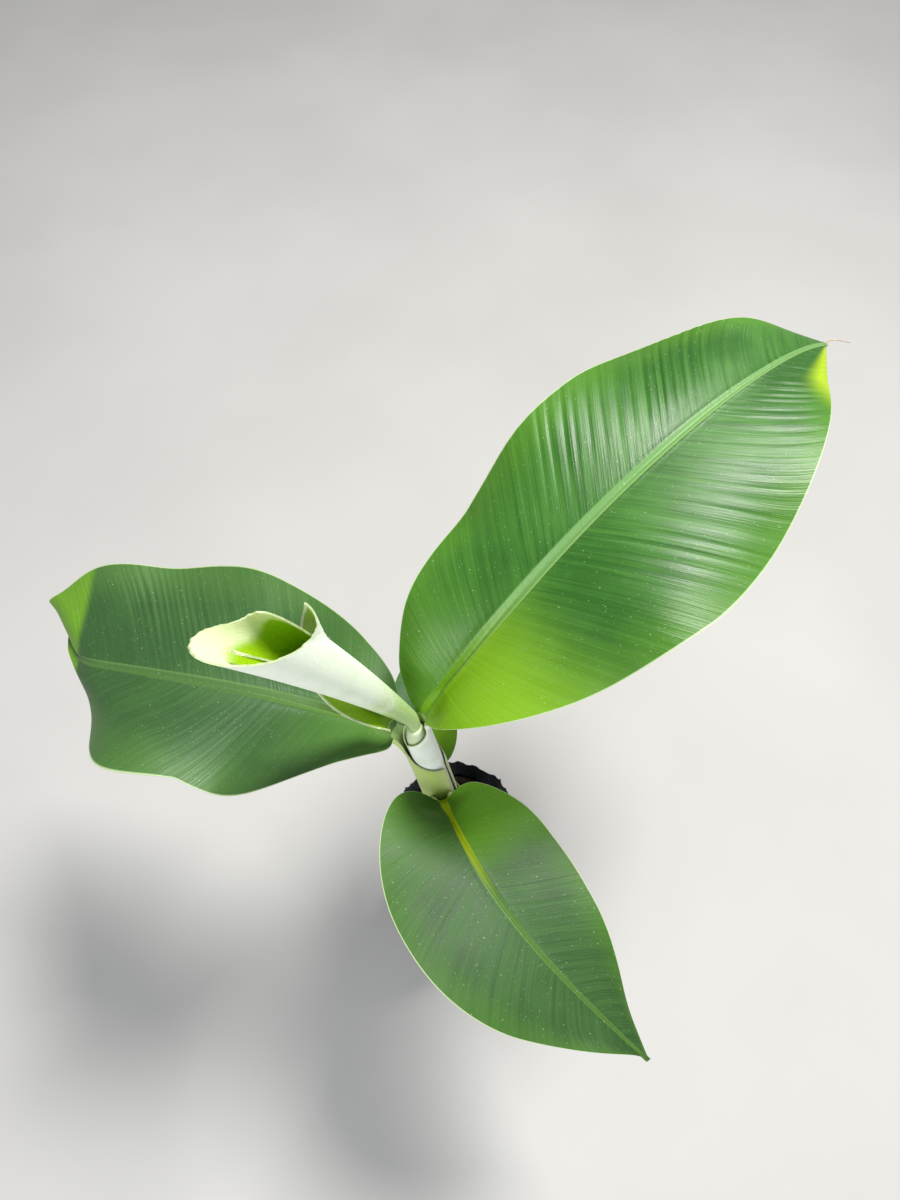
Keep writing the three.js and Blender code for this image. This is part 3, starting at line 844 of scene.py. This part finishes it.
# %% Sheath finishes
def sheath_skin(name, green, pale, foot, wax):
    coat = Coat(name)
    share = coat.attribute("along")
    lines = coat.streaks((110, 0.6, 1), 3, 0.6)
    patches = coat.speckle(55.0, 4, 0.6)
    coat.start(lines, green, pale)
    bloom = coat.times(coat.ramp(patches, 0.3, 0.55, 0.6, 1), wax)
    coat.paint(coat.times(bloom, coat.ramp(share, 0.3, 0.7)), (0.94, 0.98, 0.91))
    low = coat.times(coat.ramp(share, 0.0, 0.4, 1, 0), coat.ramp(patches, 0.4, 0.6, 0.3, 1))
    coat.paint(low, foot)
    margin = coat.ramp(coat.attribute("reach"), 0.93, 0.97)
    coat.paint(coat.times(margin, coat.ramp(share, 0.9, 0.97, 0.8, 0)), (0.5, 0.48, 0.24))
    return coat.done(patches, 0.34, 0.55, coat.bump(lines, 0.0005, 0.4))


sheath_outer = {
    "back_right": ("sheath_white", (0.5, 0.64, 0.34), (0.68, 0.8, 0.52), (0.3, 0.38, 0.1), 1.0),
    "left": ("sheath_pale", (0.34, 0.48, 0.03), (0.48, 0.62, 0.08), (0.28, 0.33, 0.05), 0.14),
    "front_right": ("sheath_yellow", (0.3, 0.44, 0.03), (0.44, 0.56, 0.06), (0.22, 0.2, 0.06), 0.08),
    "small_back": ("sheath_old", (0.16, 0.26, 0.05), (0.27, 0.33, 0.08), (0.14, 0.095, 0.045), 0.03),
}
sheath_inner = {
    "back_right": ("channel_green", (0.26, 0.42, 0.06), (0.38, 0.54, 0.14), (0.3, 0.4, 0.12), 0.1),
    "left": ("channel_pale", (0.2, 0.36, 0.05), (0.32, 0.48, 0.12), (0.3, 0.4, 0.12), 0.1),
    "front_right": ("channel_yellow", (0.32, 0.45, 0.006), (0.44, 0.56, 0.015), (0.3, 0.3, 0.1), 0.0),
    "small_back": ("channel_old", (0.18, 0.34, 0.02), (0.28, 0.42, 0.06), (0.2, 0.16, 0.07), 0.0),
}
core_tones = ("core_skin", (0.4, 0.52, 0.2), (0.52, 0.64, 0.32), (0.3, 0.34, 0.12), 0.3)
print("sheath finishes", [tones[0] for tones in sheath_outer.values()])

# %% Sheaths and petioles
petiole_columns = 56
petiole_row = 0.0012


def make_petiole(leaf):
    end = leaf.blade_start

    def place(across, run, skin):
        return strip_point(leaf, end * run, across, skin), run, 0

    mesh = flat_slab(petiole_columns, round(end / petiole_row))
    lay_strip(mesh, place, end * uv_per_metre)
    inner = sheath_skin(*sheath_inner[leaf.name])
    outer = sheath_skin(*sheath_outer[leaf.name])
    finishes = (inner, outer, rim_finish)
    add_piece("sheath_" + leaf.name, mesh, finishes, "petiole", "petiole_" + leaf.name)


for leaf in leaves:
    make_petiole(leaf)

# %% [markdown]
# Inside the sheaths the stem goes on as a round core, which narrows where the furled leaf leaves
# it. It is a cylinder whose rings are moved onto the stem's line.

# %% Stem core
core_rings = 60
core_sides = 48
core_tip_share = 0.62
core_tip_start = 0.94


def make_core():
    mesh = ringed_cone(core_sides, core_rings, 1)
    uv_layer = mesh.loops.layers.uv.new("UVMap")
    along_layer = mesh.verts.layers.float.new("along")
    for face in mesh.faces:
        for loop in face.loops:
            x, y, z = loop.vert.co
            loop[uv_layer].uv = (atan2(y, x) / pi, z)
        face.smooth = abs(face.normal.z) < 0.5
    for corner in mesh.verts:
        share = (corner.co.z + 1) / 2
        height = crown_height * share
        point, left, up = frame_at(stem_point(height), stem_direction(height), 0)
        radius = core_radius(height) * mix(1, core_tip_share, smooth(core_tip_start, 1, share))
        corner[along_layer] = share
        corner.co = point + left * (corner.co.y * radius) - up * (corner.co.x * radius)
    add_piece("stem_core", mesh, (sheath_skin(*core_tones),), "stem", "pseudostem")


make_core()

# %% [markdown]
# The furled leaf is the same kind of strip, rolled into a loose spiral: the far margin is curled
# inside, and the near one stands a little off the roll and ends in a pointed corner. Turns are
# counted round the roll from the leaf's own midrib, at zero.

# %% Furled leaf sizes
roll_length = 0.214
roll_headings = (-150, -146)
roll_leans = (18.5, 24)
roll_release = 0.017
roll_radius_foot = 0.0024
roll_radius_mouth = 0.0155
roll_wall = 0.0022
roll_skin = 0.0009
roll_layer_gap = 0.0006
roll_midrib_heading = 216
roll_inner_turn = -345
roll_inner_foot = -120
roll_flare = 0.95
roll_outer_start = 290
roll_outer_foot = 420
roll_outer_mouth = 175
roll_apex_turn = 12
roll_mouth_drop = 0.062
roll_back_rise = 0.020
roll_back_turn = -130
roll_corner_rise = 0.010
roll_corner_turn = 30
roll_coil_rise = 0.044
roll_coil_turns = (-272, -312)
roll_coil_curl = 0.003
roll_coil_curl_turns = (-240, -300)
roll_coil_shares = (0.35, 0.7)
roll_flap_lift = 0.008
roll_flap_turn = 60
roll_flap_foot = 0.5
roll_flap_shares = (0.03, 0.2)
roll_wrap_shares = (0, 0.22)
roll_unwrap_shares = (0.14, 0.96)
roll_columns = 150
roll_rows = 170
roll_uv_length = 2.1
# Widths of the painted light band round the mouth, inside the furled leaf.
painted_light_band_least = 0.004
painted_light_band_most = 0.024


def make_roll_axis():
    way = stem_direction(crown_height)
    point = stem_point(crown_height) + way * seat_gap
    steps = round(roll_length / spine_step)
    axis = []
    for i in range(steps + 1):
        share = i / steps
        lean = level(along(roll_headings, share), 90 - along(roll_leans, share))
        forward = way.lerp(lean, smooth(0, roll_release, i * spine_step)).normalized()
        axis.append(frame_at(point.copy(), forward, roll_midrib_heading))
        point = point + forward * (roll_length / steps)
    return axis


def outer_turn(share):
    wrapped = mix(roll_outer_start, roll_outer_foot, smooth(*roll_wrap_shares, share))
    return mix(wrapped, roll_outer_mouth, smooth(*roll_unwrap_shares, share))


def mouth_drop(turn):
    half = min(max(turn - roll_apex_turn, -180), 180)
    corner = roll_corner_rise * smooth(roll_outer_mouth - roll_corner_turn, roll_outer_mouth, turn)
    back = roll_back_rise * max(cos(radians(turn - roll_back_turn)), 0) ** 4
    coil = roll_coil_rise * (1 - smooth(roll_coil_turns[1], roll_coil_turns[0], turn))
    return roll_mouth_drop * (1 - cos(radians(half))) / 2 - corner - back - coil


roll_axis = make_roll_axis()
print("furled leaf tip at", rounded(roll_axis[-1][0]))


# %% [markdown]
# The outside of the furled leaf is the blade's underside, thick with white wax that is rubbed
# off in streaks low down. The inside is its upper skin, still yellow-green because little light
# has reached it, with a painted highlight round the mouth: a band painted nearly white where light
# falls on the inner wall, widest towards the leaf's tip.


# %% Furled leaf finishes
def furled_outside():
    coat = Coat("furled_outside")
    veins = coat.streaks((30, 110, 1), 3, 0.6)
    patches = coat.speckle(50.0, 4, 0.65)
    coat.start(veins, (0.38, 0.55, 0.19), (0.54, 0.69, 0.33))
    wax = coat.number("ADD", coat.times(patches, 0.5), coat.attribute("along"))
    coat.paint(coat.ramp(wax, 0.42, 0.72), (0.84, 0.9, 0.76))
    coat.paint(coat.ramp(patches, 0.5, 0.75, 0, 0.3), (0.56, 0.7, 0.4))
    coat.paint(coat.ramp(coat.attribute("rib"), -1.4, -0.95, 1, 0), (0.25, 0.4, 0.02))
    return coat.done(patches, 0.55, 0.4, coat.bump(veins, 0.0005, 0.4))


def furled_inside():
    coat = Coat("furled_inside")
    veins = coat.streaks((20, 150, 1), 3, 0.6)
    coat.start(veins, (0.26, 0.48, 0.004), (0.35, 0.58, 0.006))
    # Painted highlight: near the mouth the inner wall is painted nearly white, where light falls on it.
    painted_light_mask = coat.number("ADD", coat.attribute("rib"), coat.times(veins, 0.5))
    coat.paint(coat.ramp(painted_light_mask, 1.0, 1.45, 1, 0), (0.76, 0.84, 0.5))
    coat.paint(coat.ramp(coat.attribute("reach"), 0.983, 0.99), (0.8, 0.86, 0.6))
    return coat.done(veins, 0.36, 0.48, coat.bump(veins, 0.0005, 0.4))


furled_finishes = (furled_inside(), furled_outside(), rim_finish)
print("furled leaf finishes", [finish.name for finish in furled_finishes])

# %% Furled leaf
def make_furled_leaf():
    def place(across, run, skin):
        round_share = (across + 1) / 2
        top_turn = mix(roll_inner_turn, roll_outer_mouth, round_share)
        length = run * (roll_length - mouth_drop(top_turn))
        share = length / roll_length
        margin = outer_turn(share)
        inner = mix(roll_inner_foot, roll_inner_turn, smooth(*roll_wrap_shares, share))
        turn = mix(inner, margin, round_share)
        lift = roll_flap_lift * mix(roll_flap_foot, 1, share) * smooth(*roll_flap_shares, share)
        flap = lift * smooth(margin - roll_flap_turn, margin, turn)
        spiral = (roll_wall + roll_layer_gap) * turn / 360
        cone = mix(roll_radius_foot, roll_radius_mouth, share**roll_flare)
        curl = roll_coil_curl * (1 - smooth(*reversed(roll_coil_curl_turns), turn))
        curl *= smooth(*roll_coil_shares, share)
        radius = cone + spiral + flap - curl - skin * roll_skin / 2
        point, left, up = roll_axis[min(round(length / spine_step), len(roll_axis) - 1)]
        angle = radians(turn)
        point = point - up * (radius * cos(angle)) + left * (radius * sin(angle))
        if skin < 0:
            return point, share, turn / 180
        # Inside, the rib value is how far below the mouth a point lies, against the width of the painted
        # light band, which is widest towards the leaf's tip.
        toward_tip = cos(radians((turn - roll_apex_turn) / 2)) ** 2
        below_edge = (1 - run) * length / max(run, 0.01)
        return point, share, below_edge / mix(painted_light_band_least, painted_light_band_most, toward_tip)

    mesh = flat_slab(roll_columns, roll_rows)
    lay_strip(mesh, place, roll_uv_length)
    add_piece("furled_leaf", mesh, furled_finishes, "furled_leaf", "leaf_furled")


make_furled_leaf()

# %% [markdown]
# The bag is a tube of thin polythene film, closed at the bottom. The soil and handling pull it
# out of round, so its wall is spun from a profile and then pushed in and out: slow lobes, sharp
# upright wrinkles, and small dents. A Solidify modifier gives the film its thickness.

# %% Bag sizes
bag_height = 0.188
bag_radius = 0.052
bag_foot_radius = 0.043
bag_corner_height = 0.014
bag_corner_steps = 12
bag_middle_radius = 0.02
bag_sides = 220
bag_rows = 90
rim_flare = 0.002
rim_oval = 0.05
rim_lobes = 0.03
rim_wave_heading = 96
rim_curl = 0.0022
rim_curl_start = 0.17
rim_sag = 0.003
rim_lowered = 0.002
rim_sag_start = 0.15
film_thickness = 0.0005
fold_depth = 0.0016
fold_sharpness = 5
fold_middle = 0.45
crease_depth = 0.0011
crease_sharpness = 7
crease_middle = 0.3
dent_depth = 0.0012
wrinkle_foot_fade = (0.002, 0.02)
wrinkle_rim_share = 1.25


def bag_wave(angle, height):
    turn = angle - radians(rim_wave_heading)
    lobes = rim_oval * cos(2 * turn) + rim_lobes * cos(3 * turn)
    return 1 + smooth(0, bag_height, height) * lobes


def bag_profile(inset, top, steps):
    points = []
    for i in range(bag_corner_steps + 1):
        angle = i / bag_corner_steps * pi / 2
        radius = bag_foot_radius + (bag_radius - bag_foot_radius) * sin(angle) - inset
        points.append((radius, max(bag_corner_height * (1 - cos(angle)), inset)))
    for i in range(1, steps + 1):
        height = mix(bag_corner_height, top, i / steps)
        points.append((bag_radius + rim_flare * (height / bag_height) ** 4 - inset, height))
    return points


def around_noise(angle, scale, shift):
    """Noise that closes on itself round the bag"""
    around = Vector((cos(angle), sin(angle), 0))
    return noise.noise(around * scale + Vector(shift))


def wrinkle(angle, height):
    sway = around_noise(angle, 1.3, (0, 0, height * 16))
    fold = 1 - abs(around_noise(angle, 5.5, (sway * 0.9, 0, height * 9 + 3)))
    crease = 1 - abs(around_noise(angle, 9, (3, height * 34, height * 20)))
    dent = around_noise(angle, 3, (0, 7, height * 22))
    folds = fold_depth * (fold**fold_sharpness - fold_middle)
    return folds + crease_depth * (crease**crease_sharpness - crease_middle) + dent_depth * dent


def spun_shape(profile, sides):
    mesh = bmesh.new()
    corners = [mesh.verts.new((radius, 0, height)) for radius, height in profile]
    edges = [mesh.edges.new(pair) for pair in zip(corners, corners[1:])]
    bmesh.ops.spin(mesh, geom=corners + edges, axis=(0, 0, 1), angle=2 * pi, steps=sides, use_merge=True)
    bmesh.ops.remove_doubles(mesh, verts=mesh.verts[:], dist=1e-6)
    smooth_outwards(mesh)
    return mesh


# %% Film finish
def film_finish():
    coat = Coat("black_film")
    cloud = coat.speckle(30.0, 5, 0.6)
    grain = coat.speckle(700.0, 3, 0.6)
    creases = coat.speckle(130.0, 4, 0.65, coat.object_place((1, 1, 0.45)))
    coat.start(cloud, (0.012, 0.014, 0.019), (0.03, 0.034, 0.044))
    coat.paint(coat.ramp(creases, 0.6, 0.72, 0, 0.5), (0.08, 0.088, 0.105))
    separate = coat.tree.nodes.new("ShaderNodeSeparateXYZ")
    coat.feed(separate, Vector=coat.object_place())
    splash = coat.ramp(separate.outputs["Z"], 0.0, 0.075, 1, 0)
    dirt = coat.times(splash, coat.ramp(coat.number("ADD", cloud, grain), 0.9, 1.15))
    dust = coat.times(coat.ramp(cloud, 0.5, 0.68), coat.ramp(grain, 0.5, 0.62, 0, 0.45))
    coat.paint(coat.number("MAXIMUM", dirt, dust), (0.19, 0.14, 0.1))
    normal = coat.bump(grain, 0.0002, 0.3, coat.bump(creases, 0.0012, 0.55))
    return coat.done(cloud, 0.32, 0.5, normal)


film_skin = film_finish()
print("film finish", film_skin.name)


# %% Bag
def make_bag():
    profile = [(0, 0), (bag_middle_radius, 0)] + bag_profile(0, bag_height, bag_rows)
    mesh = spun_shape(profile, bag_sides)
    for corner in mesh.verts:
        x, y, height = corner.co
        angle = atan2(y, x)
        radius = hypot(x, y)
        if radius < 1e-5:
            continue
        push = wrinkle(angle, height) * smooth(*wrinkle_foot_fade, height)
        push = push * mix(1, wrinkle_rim_share, height / bag_height)
        curl = rim_curl * around_noise(angle, 3, (5, 5, 5)) * smooth(rim_curl_start, bag_height, height)
        new_radius = radius * bag_wave(angle, height) + push + curl
        sag = rim_sag * around_noise(angle, 2.2, (9, 1, 4)) - rim_lowered
        height += sag * smooth(rim_sag_start, bag_height, height)
        corner.co = (new_radius * cos(angle), new_radius * sin(angle), height)
    piece = add_piece("bag_film", mesh, (film_skin,), "bag", "bag")
    wall = piece.modifiers.new("film", "SOLIDIFY")
    wall.thickness = film_thickness
    wall.offset = -1


make_bag()

# %% [markdown]
# The soil is dark, crumbly nursery mix. Its surface is spun like the bag, lifted by noise of
# several sizes into clods and hollows, and strewn with loose crumbs and bits of dry stalk.


# %% Soil finish
def soil_finish(name, dark, light, grain_size):
    coat = Coat(name)
    clods = coat.speckle(120.0, 4, 0.65)
    grain = coat.speckle(grain_size, 4, 0.7)
    coat.start(clods, dark, light)
    coat.paint(coat.ramp(grain, 0.62, 0.7), (0.26, 0.2, 0.13))
    normal = coat.bump(grain, 0.0008, 0.6, coat.bump(clods, 0.002, 0.6))
    return coat.done(grain, 0.85, 0.98, normal)


soil_skin = soil_finish("soil", (0.022, 0.015, 0.011), (0.07, 0.05, 0.034), 900.0)
crumb_skin = soil_finish("crumb", (0.035, 0.024, 0.017), (0.1, 0.072, 0.05), 1200.0)
print("soil finishes", soil_skin.name, crumb_skin.name)

# %% Soil
soil_clearance = 0.002
soil_hollow = 0.003
soil_seat_radius = 0.022
soil_dish_share = 0.8
soil_sides = 150
soil_side_rows = 12
soil_top_rings = 46
clod_sizes = ((0.0018, 130), (0.001, 320))
mound_height = 0.0016
mound_scale = 75
smooth_seat = (0.012, 0.02)


def soil_surface(x, y):
    """The height of the soil: a shallow dish with clods of two sizes and some low mounds"""
    distance = hypot(x, y)
    dish = soil_level - soil_hollow * smooth(soil_seat_radius, bag_radius * soil_dish_share, distance)
    place = Vector((x, y, 0))
    bumps = sum(height * noise.noise(place * scale) for height, scale in clod_sizes)
    bumps += mound_height * max(noise.noise(place * mound_scale + Vector((3, 3, 3))), 0)
    return dish + bumps * smooth(*smooth_seat, distance)


def make_soil():
    side = bag_profile(soil_clearance, soil_level - soil_hollow, soil_side_rows)
    edge = side[-1][0]
    top = [(edge * (1 - i / soil_top_rings), soil_level) for i in range(1, soil_top_rings)]
    mesh = spun_shape([(0, soil_clearance)] + side + top + [(0, soil_level)], soil_sides)
    for corner in mesh.verts:
        x, y, height = corner.co
        wave = bag_wave(atan2(y, x), height)
        x, y = x * wave, y * wave
        if height > soil_level - soil_hollow - 1e-5:
            height = soil_surface(x, y)
        corner.co = (x, y, height)
    add_piece("soil", mesh, (soil_skin,), "soil", "soil")


make_soil()

# %% Crumbs and stalks
crumb_count = 240
crumb_ring = (0.018, 0.046)
crumb_least = 0.0007
crumb_more = 0.0016
crumb_lumpiness = 0.5
crumb_lump_scale = 900
crumb_shape = (1.15, 1, 0.8)
crumb_lift = 0.35
stalk_count = 26
stalk_ring = (0.02, 0.043)
stalk_least = 0.005
stalk_more = 0.009
stalk_radii = (0.0004, 0.00025)
stalk_sides = 6
stalk_rise = 4
stalk_lift = 0.0011
golden_angle = 2.399963


def scattered(i, seed, ring):
    angle = golden_angle * i + seed
    share = (i + 0.5 * wander(i * 0.37, seed, 0) + 0.5) / crumb_count
    radius = mix(*ring, sqrt(min(max(share, 0), 1)))
    return radius * cos(angle), radius * sin(angle)


def make_crumbs():
    mesh = bmesh.new()
    for i in range(crumb_count):
        x, y = scattered(i, 0.4, crumb_ring)
        size = crumb_least + crumb_more * abs(wander(i * 1.31, 2.2, 0)) ** 0.7
        new = bmesh.ops.create_icosphere(mesh, subdivisions=1, radius=size)["verts"]
        for corner in new:
            lump = 1 + crumb_lumpiness * noise.noise(corner.co * crumb_lump_scale + Vector((i, 0, 0)))
            corner.co = [value * lump * stretch for value, stretch in zip(corner.co, crumb_shape)]
        bmesh.ops.translate(mesh, verts=new, vec=(x, y, soil_surface(x, y) + size * crumb_lift))
    add_piece("soil_crumbs", mesh, (crumb_skin,), "soil")


def make_stalks():
    mesh = bmesh.new()
    for i in range(stalk_count):
        x, y = scattered(i * 9 + 4, 1.9, stalk_ring)
        length = stalk_least + stalk_more * abs(wander(i * 2.7, 8, 0))
        new = bmesh.ops.create_cone(mesh, cap_ends=True, segments=stalk_sides, depth=length,
                                    radius1=stalk_radii[0], radius2=stalk_radii[1])["verts"]
        turn = wander(i * 1.9, 4, 1) * 9
        lay = level(degrees(turn), stalk_rise).to_track_quat("Z", "Y").to_matrix()
        bmesh.ops.rotate(mesh, verts=new, matrix=lay)
        bmesh.ops.translate(mesh, verts=new, vec=(x, y, soil_surface(x, y) + stalk_lift))
    finish = dry_fibre("dry_stalk", 500.0, (0.3, 0.22, 0.12), (0.48, 0.38, 0.24))
    add_piece("soil_stalks", mesh, (finish,), "soil")


make_crumbs()
make_stalks()

# %% [markdown]
# The floor is plain and pale, a little uneven in tone so that it doesn't look like bare paint.


# %% Floor
def make_floor():
    mesh = bmesh.new()
    bmesh.ops.create_grid(mesh, x_segments=2, y_segments=2, size=4)
    coat = Coat("pale_floor")
    cloud = coat.speckle(3.0, 3, 0.5)
    coat.start(cloud, (0.5, 0.49, 0.475), (0.54, 0.53, 0.515), 0.3, 0.7)
    skin = coat.done(cloud, 0.75, 0.85, coat.bump(cloud, 0.001, 0.1))
    floor = solid_object("floor", mesh, (skin,))
    floor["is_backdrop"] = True


make_floor()

# %% [markdown]
# Last, the whole model is measured, and its box is written beside the CAD solids' own.

# %% Sizes and finish
visual_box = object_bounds()
print("visual box", [rounded(corner) for corner in visual_box])
